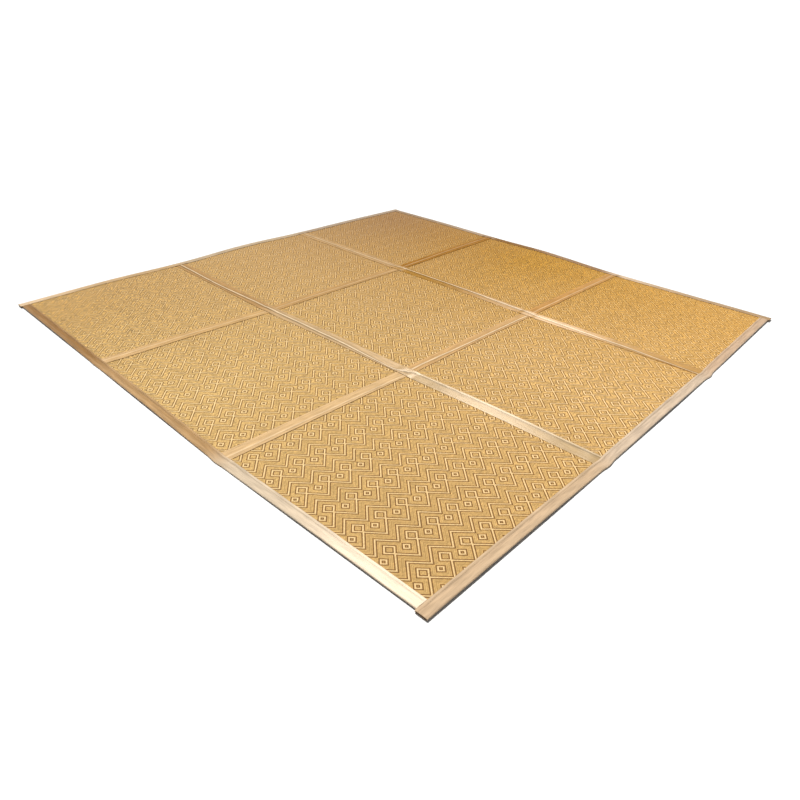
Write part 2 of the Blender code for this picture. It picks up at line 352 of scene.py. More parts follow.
def streaks(material, uv, width, length, detail=2.0):
    # noise drawn out along the chart's u, one strand wide
    mapping = addNode(material, "ShaderNodeMapping", {"Scale": (1 / length, 1 / width, 1.0)}, {"Vector": uv})
    return addNode(material, "ShaderNodeTexNoise",
                   {"Scale": 1.0, "Detail": detail, "Roughness": 0.6},
                   {"Vector": mapping.outputs[0]}).outputs["Fac"]


def tinted(material, color):
    # multiplies a colour by the piece's own tint, which on the panels is partly painted shade
    tint = addNode(material, "ShaderNodeAttribute", {"attribute_name": "tone"}).outputs["Color"]
    return addNode(material, "ShaderNodeVectorMath", {"operation": "MULTIPLY"},
                   {0: color, 1: tint}).outputs[0]


def makeRattan():
    material = newMaterial("wovenRattan")
    uv = addNode(material, "ShaderNodeUVMap", {"uv_map": "chart"}).outputs[0]
    distance = figureDistance(material, uv)
    share = calculate(material, "MULTIPLY", distance, 1 / (rattan["bandReach"] * mm))
    bands = addNode(material, "ShaderNodeValToRGB", {}, {0: share})
    setRamp(bands, [(at / rattan["bandReach"], code) for at, code in rattan["bands"]])
    streak = streaks(material, uv, rattan["streakWidth"], rattan["streakLength"])
    coordinates = addNode(material, "ShaderNodeTexCoord").outputs["Object"]
    tone = calculate(material, "MULTIPLY_ADD", streak, 0.50, 0.75)
    uneven = addNode(material, "ShaderNodeAttribute", {"attribute_name": "tone"}).outputs["Alpha"]
    for size in rattan["clouds"]:
        cloud = addNode(material, "ShaderNodeTexNoise", {"Scale": 1 / size, "Detail": 1.0},
                        {"Vector": coordinates})
        swing = calculate(material, "SUBTRACT", cloud.outputs["Fac"], 0.5)
        tone = calculate(material, "MULTIPLY", tone, calculate(
            material, "MULTIPLY_ADD", swing, uneven, 1.0))
    color = addNode(material, "ShaderNodeVectorMath", {"operation": "SCALE"},
                    {0: bands.outputs[0], "Scale": tone})
    shader = addNode(material, "ShaderNodeBsdfPrincipled",
                     {"Roughness": rattan["roughness"], "IOR": 1.5,
                      "Specular Tint": hexColor(rattan["gloss"])},
                     {"Base Color": tinted(material, color.outputs[0])})
    return finishMaterial(material, shader)


def makeStraw():
    # Pale floats of the same strands, pressed flat and a little glossy
    material = newMaterial("paleRattanFloat")
    uv = addNode(material, "ShaderNodeUVMap", {"uv_map": "chart"}).outputs[0]
    streak = streaks(material, uv, rattan["streakWidth"], rattan["streakLength"] / 4)
    ramp = addNode(material, "ShaderNodeValToRGB", {}, {0: streak})
    setRamp(ramp, [(0.25, "#E4B97B"), (0.55, "#FFD79C"), (0.8, "#FFE6B8")])
    shader = addNode(material, "ShaderNodeBsdfPrincipled",
                     {"Roughness": 0.55, "IOR": 1.5, "Specular Tint": hexColor(rattan["gloss"])},
                     {"Base Color": tinted(material, ramp.outputs[0])})
    return finishMaterial(material, shader)


# Woven cotton-blend tape: lengthwise threads, a satin face on the rim and the long tapes
tapes = {
    "rim": {"name": "satinRimTape", "roughness": 0.42},
    "long": {"name": "satinHingeTape", "roughness": 0.42},
    "short": {"name": "plainHingeTape", "roughness": 0.46},
    "satin": 1.0,               # how far the lengthwise threads draw out the shine
    "shine": 0.8,               # satin floats shine more than plain weave
    "gloss": "#FFEDD6",
    "threadWidth": 0.6 * mm,
    "threadLength": 30 * mm,
    "weftPitch": 1.2 * mm,
    "contrast": (0.78, 1.20),   # from the deepest thread to the palest one
    # colour of each section from seam to seam, partly the cloth's own tone and partly painted light, paler
    # where the satin catches the key light and darker where it lies in shade, and its share of shine
    "toneAndPaintedLight": {
        "front": (("#CCAE8B", 1.0), ("#D3BBA0", 1.0), ("#CCAC8C", 1.0)),
        "right": (("#B4946E", 1.0), ("#865B22", 0.2), ("#A2876A", 0.6)),
        "back": (("#C7A67A", 0.7), ("#C5AD8D", 0.8), ("#B49D84", 1.0)),
        "left": (("#D3BEA2", 1.0), ("#B58E5E", 0.9), ("#99703F", 0.7)),
        "long1": (("#B5976A", 1.0), ("#CAA87A", 1.0), ("#B98F59", 0.9)),
        "long2": (("#C29454", 0.75), ("#A77722", 0.5), ("#C19A67", 0.8)),
        "short1_1": (("#D8B381", 0.9),),
        "short2_1": (("#D0A56E", 1.0),),
        "short3_1": (("#C89452", 1.0),),
        "short1_2": (("#CCA46C", 0.6),),
        "short2_2": (("#C0965E", 0.9),),
        "short3_2": (("#A67123", 0.7),),
    },
    "toneBlend": 70 * mm,       # how far each side of a seam two sections blend
}


def toneAndLightAt(name, position):
    # colour of a tape at a place along it, painted light included, with its share of shine as the alpha
    values = [Vector((*hexColor(code)[:3], shine)) for code, shine in tapes["toneAndPaintedLight"][name]]
    result = values[0]
    for number, following in enumerate(values[1:], 1):
        share = (position - number * pitch) / tapes["toneBlend"] / 2 + 0.5
        share = min(max(share, 0.0), 1.0)
        result = result.lerp(following, share * share * (3 - 2 * share))
    return result


def makeTapeMaterial(kind):
    values = tapes[kind]
    material = newMaterial(values["name"])
    uv = addNode(material, "ShaderNodeUVMap", {"uv_map": "chart"}).outputs[0]
    # on a tape the chart's u runs along it
    thread = streaks(material, uv, tapes["threadWidth"], tapes["threadLength"])
    cloud = streaks(material, uv, 9 * mm, 70 * mm)
    both = calculate(material, "MULTIPLY_ADD", thread, 0.45, calculate(material, "MULTIPLY", cloud, 0.55))
    factor = addNode(material, "ShaderNodeMapRange",
                     {"From Min": 0.36, "From Max": 0.62, "To Min": tapes["contrast"][0],
                      "To Max": tapes["contrast"][1]}, {"Value": both})
    # the tone attribute brings the tape's colour with its painted shade and painted highlight
    toneAndPaintedLight = addNode(material, "ShaderNodeAttribute", {"attribute_name": "tone"})
    color = addNode(material, "ShaderNodeVectorMath", {"operation": "SCALE"},
                    {0: toneAndPaintedLight.outputs["Color"], "Scale": factor.outputs[0]})
    shine = calculate(material, "MULTIPLY", toneAndPaintedLight.outputs["Alpha"], tapes["shine"])
    weft = addNode(material, "ShaderNodeTexWave",
                   {"wave_type": "BANDS", "bands_direction": "X", "Distortion": 1.0,
                    "Scale": math.pi / 10 / tapes["weftPitch"]}, {"Vector": uv})
    bumpHeight = calculate(material, "MULTIPLY_ADD", weft.outputs["Fac"], 0.4, thread)
    bump = addNode(material, "ShaderNodeBump", {"Strength": 0.35, "Distance": 0.15 * mm},
                   {"Height": bumpHeight})
    lengthwise = addNode(material, "ShaderNodeTangent", {"direction_type": "UV_MAP", "uv_map": "chart"})
    shader = addNode(material, "ShaderNodeBsdfPrincipled",
                     {"Roughness": values["roughness"], "IOR": 1.5, "Anisotropic": tapes["satin"],
                      "Anisotropic Rotation": 0.25, "Specular Tint": hexColor(tapes["gloss"]),
                      "Sheen Weight": 0.1, "Sheen Roughness": 0.4},
                     {"Base Color": color.outputs[0], "Specular IOR Level": shine,
                      "Normal": bump.outputs[0], "Tangent": lengthwise.outputs[0]})
    return finishMaterial(material, shader)


def makeThread():
    # Twisted polyester sewing thread, a shade paler than the tape
    material = newMaterial("sewingThread")
    coordinates = addNode(material, "ShaderNodeTexCoord").outputs["Object"]
    fibre = addNode(material, "ShaderNodeTexNoise", {"Scale": 900.0, "Detail": 1.0}, {"Vector": coordinates})
    ramp = addNode(material, "ShaderNodeValToRGB", {}, {0: fibre.outputs["Fac"]})
    setRamp(ramp, [(0.3, "#D9B68C"), (0.7, "#F1D6B0")])
    shader = addNode(material, "ShaderNodeBsdfPrincipled", {"Roughness": 0.45, "IOR": 1.5},
                     {"Base Color": ramp.outputs[0]})
    return finishMaterial(material, shader)


wovenRattan, paleStraw = makeRattan(), makeStraw()
rimTape, longTape, shortTape = (makeTapeMaterial(kind) for kind in ("rim", "long", "short"))
sewingThread = makeThread()
print("materials are made")


def makeSheet(columns, rows, under, top, chart, tone=None):
    # a grid pulled out to a closed sheet; under and top give the place of each grid point,
    # chart its place on the material and tone its colour, if it is set here
    shape = bmesh.new()
    bmesh.ops.create_grid(shape, x_segments=columns - 1, y_segments=rows - 1, size=1.0)
    columnOf = shape.verts.layers.int.new("column")
    rowOf = shape.verts.layers.int.new("row")
    for vert in shape.verts:
        vert[columnOf] = round((vert.co.x + 1) / 2 * (columns - 1))
        vert[rowOf] = round((vert.co.y + 1) / 2 * (rows - 1))
    lower = list(shape.verts)
    pulled = bmesh.ops.extrude_face_region(shape, geom=list(shape.faces))["geom"]
    upper = [item for item in pulled if isinstance(item, bmesh.types.BMVert)]
    for verts, position in ((lower, under), (upper, top)):
        for vert in verts:
            vert.co = position(vert[columnOf], vert[rowOf])
    bmesh.ops.recalc_face_normals(shape, faces=list(shape.faces))
    chartLayer = shape.loops.layers.uv.new("chart")
    for face in shape.faces:
        for corner in face.loops:
            corner[chartLayer].uv = chart(corner.vert[columnOf], corner.vert[rowOf])
    if tone:
        toneLayer = shape.verts.layers.float_color.new("tone")
        columnOf, rowOf = shape.verts.layers.int["column"], shape.verts.layers.int["row"]
        for vert in shape.verts:
            vert[toneLayer] = tone(vert[columnOf], vert[rowOf])
    for layerName in ("column", "row"):
        shape.verts.layers.int.remove(shape.verts.layers.int[layerName])
    return shape


def addPiece(name, shape, materials, sharpAngle=60):
    mesh = bpy.data.meshes.new(name)
    shape.to_mesh(mesh)
    shape.free()
    for material in materials:
        mesh.materials.append(material)
    mesh.shade_smooth()
    mesh.set_sharp_from_angle(angle=math.radians(sharpAngle))
    piece = bpy.data.objects.new(name, mesh)
    bpy.context.scene.collection.objects.link(piece)
    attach(piece, "root")
    return piece


# One strand's rib of the ground weave runs across; the ribs' valleys are cut into the sheet
ribs = {
    "pitch": 2.0 * mm,
    "depth": 0.22 * mm,
    "shoulders": (0.28, 0.72),      # where a rib reaches its full height, as shares of its pitch
    "stations": (36, 63, 90, 135, 180, 256),   # mm from a seam, where the sheet can bend
}


def panelColumns(number):
    # stations across a panel, from its low edge to its high one
    low, high = number * pitch, (number + 1) * pitch
    lowEdge = layer if number == 0 else matLay["panelGap"] / 2
    highEdge = layer if number == matLay["panelCount"] - 1 else matLay["panelGap"] / 2
    near = [station * mm for station in ribs["stations"]]
    return ([low + lowEdge] + [low + d for d in near] + [low + pitch / 2]
            + [high - d for d in reversed(near)] + [high - highEdge])


def panelRibs(number):
    # stations along a panel with the depth of the ribs there
    low, high = number * pitch, (number + 1) * pitch
    low += layer if number == 0 else matLay["panelGap"] / 2
    high -= layer if number == matLay["panelCount"] - 1 else matLay["panelGap"] / 2
    count = round((high - low) / ribs["pitch"])
    width = (high - low) / count
    stations = [(low, 0.0)]
    for rib in range(count):
        start = low + rib * width
        stations += [(start + part * width, 0.0) for part in ribs["shoulders"]]
        if rib < count - 1:
            stations.append((start + width, ribs["depth"]))
    stations.append((high, 0.0))
    return stations


def sweepStrand(shape, path, spreads):
    # pulls the strand's profile along a path; spreads say where the profile's offset points
    profile = [(offset * mm, height * mm) for offset, height in figure["strandProfile"]]
    first = [shape.verts.new((path[0][0] + spreads[0][0] * offset, path[0][1] + spreads[0][1] * offset,
                              height)) for offset, height in profile]
    firstEdges = [shape.edges.new((first[k], first[(k + 1) % len(first)])) for k in range(len(first))]
    verts, edges = first, firstEdges
    for (u, v), (spreadU, spreadV) in zip(path[1:], spreads[1:]):
        pulled = bmesh.ops.extrude_edge_only(shape, edges=edges)["geom"]
        edges = [item for item in pulled if isinstance(item, bmesh.types.BMEdge)]
        fresh = [item for item in pulled if isinstance(item, bmesh.types.BMVert)]
        # each new vertex lies on the one that it was pulled from
        for vert in fresh:
            number = min(range(len(verts)), key=lambda k: (verts[k].co - vert.co).length)
            vert.index = number
        verts = sorted(fresh, key=lambda vert: vert.index)
        for vert, (offset, height) in zip(verts, profile):
            vert.co = (u + spreadU * offset, v + spreadV * offset, height)


def makeRepeat():
    # the raised strands of one repeat of the figure, flat on the chart
    shape = bmesh.new()
    half = figure["repeat"][0] / 2
    for key in ("lowZigzag", "highZigzag"):
        valley, peak = figure[key]
        spread = (0.0, math.hypot(half, peak - valley) / half)
        sweepStrand(shape, [(-half, peak), (0.0, valley), (half, peak)], [spread] * 3)
    for key, middleU in (("smallDiamond", 0.0), ("largeDiamond", half)):
        middle, wide, high = figure[key]
        slant = math.hypot(wide, high)
        corners = ((1, 0), (0, 1), (-1, 0), (0, -1), (1, 0))
        path = [(middleU + wide * a, middle + high * b) for a, b in corners]
        spreads = [(a * slant / high, b * slant / wide) for a, b in corners]
        sweepStrand(shape, path, spreads)
    bmesh.ops.remove_doubles(shape, verts=list(shape.verts), dist=0.01 * mm)
    mesh = bpy.data.meshes.new("figureRepeat")
    shape.to_mesh(mesh)
    shape.free()
    return mesh


def builtTop(stations, across, along):
    # height of the sheet's top as it is built, straight between its stations
    for low, high in zip(stations, stations[1:]):
        if across <= high:
            break
    share = (across - low) / (high - low)
    return sheetTop(low, along) * (1 - share) + sheetTop(high, along) * share


def makeFigure(panel, repeatMesh):
    # the raised strands of one panel, cut off under the tapes, on the mat's own grid
    strands = bmesh.new()
    count = 0
    for i in range(*figure["copiesAcross"]):
        for j in range(*figure["copiesAlong"]):
            strands.from_mesh(repeatMesh)
            strands.verts.ensure_lookup_table()
            for k in range(count, len(strands.verts)):
                vert = strands.verts[k]
                vert.co.x += i * figure["repeat"][0]
                vert.co.y += j * figure["repeat"][1]
            count = len(strands.verts)
    bmesh.ops.remove_doubles(strands, verts=list(strands.verts), dist=0.05 * mm)
    for vert in strands.verts:
        vert.co.x, vert.co.y = matPoint(panel, vert.co.x, vert.co.y)
    last = matLay["panelCount"] - 1
    widths = (matLay["longWidth"], matLay["shortWidth"])
    for axis in (0, 1):
        number = panel[axis]
        low = number * pitch + (matLay["rimWidth"] if number == 0 else widths[axis] / 2)
        high = (number + 1) * pitch - (matLay["rimWidth"] if number == last else widths[axis] / 2)
        for line, way in ((low - figure["underTape"], -1), (high + figure["underTape"], 1)):
            point, normal = [0.0, 0.0, 0.0], [0.0, 0.0, 0.0]
            point[axis], normal[axis] = line, way
            cut = bmesh.ops.bisect_plane(
                strands, geom=list(strands.verts) + list(strands.edges) + list(strands.faces),
                dist=0.001 * mm, plane_co=point, plane_no=normal, clear_outer=True)
            rims = [item for item in cut["geom_cut"] if isinstance(item, bmesh.types.BMEdge)]
            bmesh.ops.holes_fill(strands, edges=rims, sides=0)
    bmesh.ops.recalc_face_normals(strands, faces=list(strands.faces))
    chartLayer = strands.loops.layers.uv.new("chart")
    for face in strands.faces:
        face.material_index = 1
        for corner in face.loops:
            corner[chartLayer].uv = figurePoint(panel, corner.vert.co.x, corner.vert.co.y)
    stations = panelColumns(panel[0])
    for vert in strands.verts:
        across, along, height = vert.co
        vert.co = (*place(across, along), builtTop(stations, across, along) + height)
    mesh = bpy.data.meshes.new("figureStrands")
    strands.to_mesh(mesh)
    strands.free()
    return mesh


def panelTintAndShade(across, along):
    # tint with its unevenness as the alpha, blended between the middles of the panels; the tint is partly
    # painted shade
    spots, shares = [], []
    for position in (across, along):
        middles = min(max(position / pitch - 0.5, -rattan["tintShadeEnd"]), 2 + rattan["tintShadeEnd"])
        first = min(max(int(middles), 0), 1)
        spots.append(first)
        shares.append(middles - first)
    lines = []
    for row in (spots[1], spots[1] + 1):
        ends = []
        for column in (spots[0], spots[0] + 1):
            code, uneven = rattan["tintAndShade"][(column, row)]
            ends.append(Vector((*hexColor(code)[:3], uneven)))
        lines.append(ends[0].lerp(ends[1], shares[0]))
    return lines[0].lerp(lines[1], shares[1])


def makePanel(column, row, repeatMesh):
    acrossLines, alongLines = panelColumns(column), panelRibs(row)

    def under(i, j):
        across, (along, depth) = acrossLines[i], alongLines[j]
        return (*place(across, along), sheetUnder(across, along) + depth)

    def top(i, j):
        across, (along, depth) = acrossLines[i], alongLines[j]
        return (*place(across, along), sheetTop(across, along) - depth)

    def chart(i, j):
        return figurePoint((column, row), acrossLines[i], alongLines[j][0])

    shape = makeSheet(len(acrossLines), len(alongLines), under, top, chart)
    shape.from_mesh(makeFigure((column, row), repeatMesh))
    toneLayer = shape.verts.layers.float_color.new("tone")
    for vert in shape.verts:
        vert[toneLayer] = panelTintAndShade(vert.co.x + side / 2, vert.co.y + side / 2)
    name = f"{column + 1}_{row + 1}"
    piece = addPiece(f"wovenPanel_{name}", shape, (wovenRattan, paleStraw), 70)
    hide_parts(f"panel_{name}")


repeatMesh = makeRepeat()
for column in range(matLay["panelCount"]):
    for row in range(matLay["panelCount"]):
        makePanel(column, row, repeatMesh)
print("panels are woven")


# Tapes: cross profiles as (share of the way, share of the crown), stations and stitches
tapeShape = {
    "station": 8 * mm,
    "longCrown": 1.6 * mm,
    "shortCrown": 1.2 * mm,
    # from an edge to the foot of the fold: share of the way, share of the crown, then the painted shade on
    # the near side (low across or along) and on the far side
    "body": ((0.0, 0.10, 0.95, 0.95), (0.10, 0.40, 1.0, 1.0), (0.35, 0.70, 1.0, 1.0),
             (0.80, 0.62, 1.0, 1.0), (1.0, 0.50, 0.95, 0.98)),
    # over the fold pressed into the tape: mm from its crest, share of the crown, the two painted shades,
    # dark in the groove and bright as a painted highlight near the crest
    "fold": ((8.0, 0.22, 0.66, 0.86), (5.8, 0.12, 0.46, 0.66), (4.2, 0.50, 0.66, 0.82),
             (2.8, 1.15, 1.50, 1.40)),
    "foldFoot": 11.0 * mm,
    # share of the crown and the painted highlight at the fold's crest
    "foldCrest": (1.32, 1.80),
    # share of the groove's painted shade that each kind of tape keeps
    "grooveShade": {"long": 1.0, "short": 0.45},
    "edgeThin": 0.4,              # share of the tape's thickness at its edges
    "crestHighlight": "#F8E0BC",
    # where the crest runs: mm from the tape's middle near the start, the middle and the end of
    # each section, and how sharp it is
    "folds": {
        "long1": (((18, 17, 17), 0.9), ((-17, -3, 3), 1.0), ((3, -7, -2), 1.0)),
        "long2": (((-18, -6, 2), 1.0), ((8, 9, 11), 1.0), ((2, -2, 3), 0.6)),
        "short1_1": (((-6, -9, -11), 0.5),),
        "short2_1": (((0, -9, -8), 1.0),),
        "short3_1": (((-6, -7, -6), 0.5),),
        "short1_2": (((2, 0, -3), 0.4),),
        "short2_2": (((0, -3, -6), 0.4),),
        "short3_2": (((-3, 2, 4), 0.4),),
    },
    "pucker": 0.45 * mm,
    "puckerLength": 16 * mm,
    "puckerReach": 90 * mm,       # how far from a seam the tape puckers more
    "flatEnd": 20 * mm,           # how far from a tape's end or a seam that starts to change
    "edgeWander": 0.7 * mm,
    "wanderLength": 45 * mm,
    "stitchPitch": 6.0 * mm,
    "stitchLength": 4.4 * mm,
    "stitchWidth": 0.55 * mm,
    "stitchInset": 6.0 * mm,
}


def stationsAlong(start, end):
    count = round((end - start) / tapeShape["station"])
    return [start + (end - start) * k / count for k in range(count + 1)]


def wander(position, seed, length):
    return noise.noise(Vector((position / length, seed * 7.7, 3.1)))


def stepOver(position, crossingWidth, crossings):
    # rise of a tape over the ends of the tapes that it crosses
    halfLevel = crossingWidth / 2 + matLay["overlapMargin"]
    near = min((abs(position - number * pitch) for number in crossings), default=side)
    share = (near - halfLevel) / (matLay["levelStrip"] - halfLevel)
    share = min(max(share, 0.0), 1.0)
    return layer * (1.0 - share * share * (3 - 2 * share))


def foldAt(name, firstSection, position):
    # offset of the fold's crest from the tape's middle, and its sharpness
    knots = []
    for number, (offsets, sharpness) in enumerate(tapeShape["folds"][name]):
        for share, offset in zip((0.07, 0.5, 0.93), offsets):
            knots.append(((firstSection + number + share) * pitch, offset * mm, sharpness))
    before = [knot for knot in knots if knot[0] <= position] or knots[:1]
    after = [knot for knot in knots if knot[0] > position] or knots[-1:]
    low, high = before[-1], after[0]
    share = (position - low[0]) / max(high[0] - low[0], mm)
    share = min(max(share, 0.0), 1.0) ** 2 * (3 - 2 * min(max(share, 0.0), 1.0))
    return low[1] + (high[1] - low[1]) * share, low[2] + (high[2] - low[2]) * share


def foldColumns(kind, fold, sharpness):
    # columns of a hinge tape from its near edge to its far one: offset, share of the crown, painted shade
    halfWidth = matLay[f"{kind}Width"] / 2
    sides = {-1: [], 1: []}
    for way, columns in sides.items():
        reach = halfWidth - way * fold
        foot = min(tapeShape["foldFoot"], reach * 0.6)
        for share, crown, nearShade, farShade in tapeShape["body"]:
            shade = nearShade if way < 0 else farShade
            columns.append((way * (halfWidth - share * (reach - foot)), crown, shade))
        for distance, crown, nearShade, farShade in tapeShape["fold"]:
            shade = nearShade if way < 0 else farShade
            shade = max(shade, 1 + (shade - 1) * tapeShape["grooveShade"][kind])
            offset = fold + way * distance * mm * foot / tapeShape["foldFoot"]
            columns.append((offset, 0.5 + (crown - 0.5) * sharpness, 1 + (shade - 1) * sharpness))
    crown, shade = tapeShape["foldCrest"]
    crest = (fold, 0.5 + (crown - 0.5) * sharpness, 1 + (shade - 1) * sharpness)
    return sides[-1] + [crest] + sides[1][::-1]


def crownAt(columns, offset):
    for low, high in zip(columns, columns[1:]):
        if low[0] <= offset <= high[0]:
            return low[1] + (high[1] - low[1]) * (offset - low[0]) / (high[0] - low[0])
    return columns[0][1]


def shaded(color, shade):
    # painted shade darkens a groove, a painted highlight pales a crest
    if shade > 1:
        pale = Vector((*hexColor(tapeShape["crestHighlight"])[:3], color[3]))
        return color.lerp(pale, min((shade - 1) * 0.9, 1.0))
    return Vector((*(part * shade for part in color[:3]), color[3]))


def addStitches(name, points):
    # points: (place, direction) of each stitch
    shape = bmesh.new()
    size = Matrix.Diagonal((tapeShape["stitchLength"] / 2, tapeShape["stitchWidth"] / 2,
                            tapeShape["stitchWidth"] / 2, 1.0))
    for spot, direction in points:
        turn = Matrix.Rotation(math.atan2(direction[1], direction[0]), 4, "Z")
        bmesh.ops.create_icosphere(shape, subdivisions=1, radius=1.0,
                                   matrix=Matrix.Translation(spot) @ turn @ size)
    return addPiece(name, shape, (sewingThread,), 180)


def stitchPoints(start, end, surface):
    # surface(position) gives the place on the tape; stitches lie end to end with small gaps
    points = []
    count = int((end - start) / tapeShape["stitchPitch"])
    for number in range(count):
        position = start + (number + 0.5) * tapeShape["stitchPitch"]
        here, ahead = Vector(surface(position)), Vector(surface(position + 2 * mm))
        points.append((here, ahead - here))
    return points


def makeHinge(kind, name, number, firstSection, sections, insets):
    # a tape over one seam; insets say how far its ends lie from the seams or rims there
    alongY = kind == "long"
    halfWidth = matLay[f"{kind}Width"] / 2
    middle, low, high = number * pitch, firstSection * pitch, (firstSection + sections) * pitch
    start, end = low + insets[0], high - insets[1]
    crossings = range(1, matLay["panelCount"]) if alongY else ()
    lines = stationsAlong(start, end)
    seed = 10 * firstSection + number + (40 if alongY else 0)
    columnsAt = [foldColumns(kind, *foldAt(kind + name, firstSection, position)) for position in lines]

    def surface(position, offset, crownShare, lift):
        edge = seed + 4 * round(offset / halfWidth)
        sideways = middle + offset
        sideways += tapeShape["edgeWander"] * wander(position, edge, tapeShape["wanderLength"])
        tops = [sheetTop(*((line, position) if alongY else (position, line)))
                for line in (middle - matLay["panelGap"], middle + matLay["panelGap"])]
        flat = tapeShape["flatEnd"]
        fullCrown = 1 - fade(min(position - low, high - position), flat, matLay["flangeReach"])
        share = sectionOf(position)[1]
        near = min(share, 1 - share) * pitch
        gathers = tapeShape["pucker"] * (0.35 + fade(near, flat, tapeShape["puckerReach"]))
        height = max(tops) + matLay["clearance"] + stepOver(position, matLay["shortWidth"], crossings) + lift
        height += tapeShape[f"{kind}Crown"] * crownShare * fullCrown
        if alongY:
            ripple = wander(position, seed + 100 * offset, tapeShape["puckerLength"])
            height += max(gathers * ripple, 0)
        across, along = (sideways, position) if alongY else (position, sideways)
        return (*place(across, along), height)

    def point(i, j, lift):
        offset, crownShare, shade = columnsAt[j][i]
        if i in (0, len(columnsAt[j]) - 1):
            lift *= tapeShape["edgeThin"]
        return surface(lines[j], offset, crownShare, lift)

    # the tone across a hinge tape is painted shade and painted highlight over its section colour
    shape = makeSheet(
        len(columnsAt[0]), len(lines), lambda i, j: point(i, j, 0.0),
        lambda i, j: point(i, j, matLay["tapeThick"]), lambda i, j: (lines[j], columnsAt[j][i][0]),
        lambda i, j: shaded(toneAndLightAt(kind + name, lines[j]), columnsAt[j][i][2]))
    material = longTape if alongY else shortTape
    piece = addPiece(f"{kind}Tape_{name}", shape, (material,))
    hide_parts(f"{kind}_tape_{name}")

    def stitched(position, offset):
        columns = foldColumns(kind, *foldAt(kind + name, firstSection, position))
        return surface(position, offset, crownAt(columns, offset), matLay["tapeThick"])

    points = []
    for offset in (tapeShape["stitchInset"] - halfWidth, halfWidth - tapeShape["stitchInset"]):
        points += stitchPoints(start + matLay["tuck"], end - matLay["tuck"],
                               lambda position: stitched(position, offset))
    stitches = addStitches(f"{kind}Stitches_{name}", points)


def makeLongTape(number):
    inset = matLay["rimWidth"] - matLay["tuck"]
    makeHinge("long", str(number), number, 0, matLay["panelCount"], (inset, inset))


def makeShortTape(column, number):
    last = matLay["panelCount"] - 1
    rimInset, longInset = matLay["rimWidth"] - matLay["tuck"], matLay["longWidth"] / 2 - matLay["tuck"]
    insets = (rimInset if column == 0 else longInset, rimInset if column == last else longInset)
    makeHinge("short", f"{column + 1}_{number}", number, column, 1, insets)


# The rim tape: where each side starts and ends, and what it crosses
rim = {
    "front": ("x", "low", -matLay["standOut"], side - matLay["rimWidth"] - matLay["clearance"]),
    "right": ("y", "high", -matLay["standOut"], side - matLay["rimWidth"] - matLay["clearance"]),
    "back": ("x", "high", -matLay["standOut"], side),
    "left": ("y", "low", matLay["rimWidth"] + matLay["clearance"],
             side - matLay["rimWidth"] - matLay["clearance"]),
    # top of the tape, from the fold inwards: share of the width, height in mm, and the painted shade there,
    # darker in the stitch groove and paler on the lips
    "topProfile": ((0.10, 0.35, 1.05), (0.24, 0.75, 1.10), (0.44, 0.85, 1.0), (0.60, 0.60, 0.98),
                   (0.70, 0.25, 0.92), (0.765, -0.10, 0.70), (0.83, 0.35, 1.0), (0.93, 0.55, 1.18),
                   (1.0, 0.15, 0.80)),
    # painted shade round the fold, from below to above, darkest underneath where it meets the floor
    "foldShades": (0.30, 0.32, 0.45, 0.80, 1.05, 1.08, 1.05),
    # share of those painted shades that each side shows, and the painted shade of its outer fold
    "shading": {"front": (1.0, 1.0), "left": (1.0, 1.0), "right": (0.3, 0.72), "back": (0.3, 0.72)},
    "stitchShare": 0.765,
    "foldRows": 10,             # rows of the cross profile up to the top of the fold
    "ripple": 0.25 * mm,
}


def rimProfile():
    # inner place, outer place, whether it rises over tape ends, and painted shade; places are (distance from
    # the rim, height over the sheet's underside)
    width, thick, gap, sheet = (matLay[key] for key in ("rimWidth", "tapeThick", "clearance", "sheetThick"))
    over, under = sheet + gap, -gap
    rows = [((width, under), (width, under - thick), False, 0.5),
            ((width * 0.5, under), (width * 0.5, under - thick), False, 0.5)]
    middle, half = sheet / 2, sheet / 2 + gap
    for step, shade in enumerate(rim["foldShades"]):
        angle = -math.pi / 2 + math.pi * step / 6
        inner = (thick + half * 0.4 * (1 - math.cos(angle)), middle + half * math.sin(angle))
        outer = ((half + thick) * 0.5 * (1 - math.cos(angle)), middle + (half + thick) * math.sin(angle))
        rows.append((inner, outer, False, shade))
    for share, puff, shade in rim["topProfile"]:
        rises = share * width >= width - matLay["tuck"] - 2 * mm
        outer = (share * width, over + thick + puff * mm)
        rows.append(((share * width, over + max(puff, 0.0) * mm * 0.5), outer, rises, shade))
    return rows


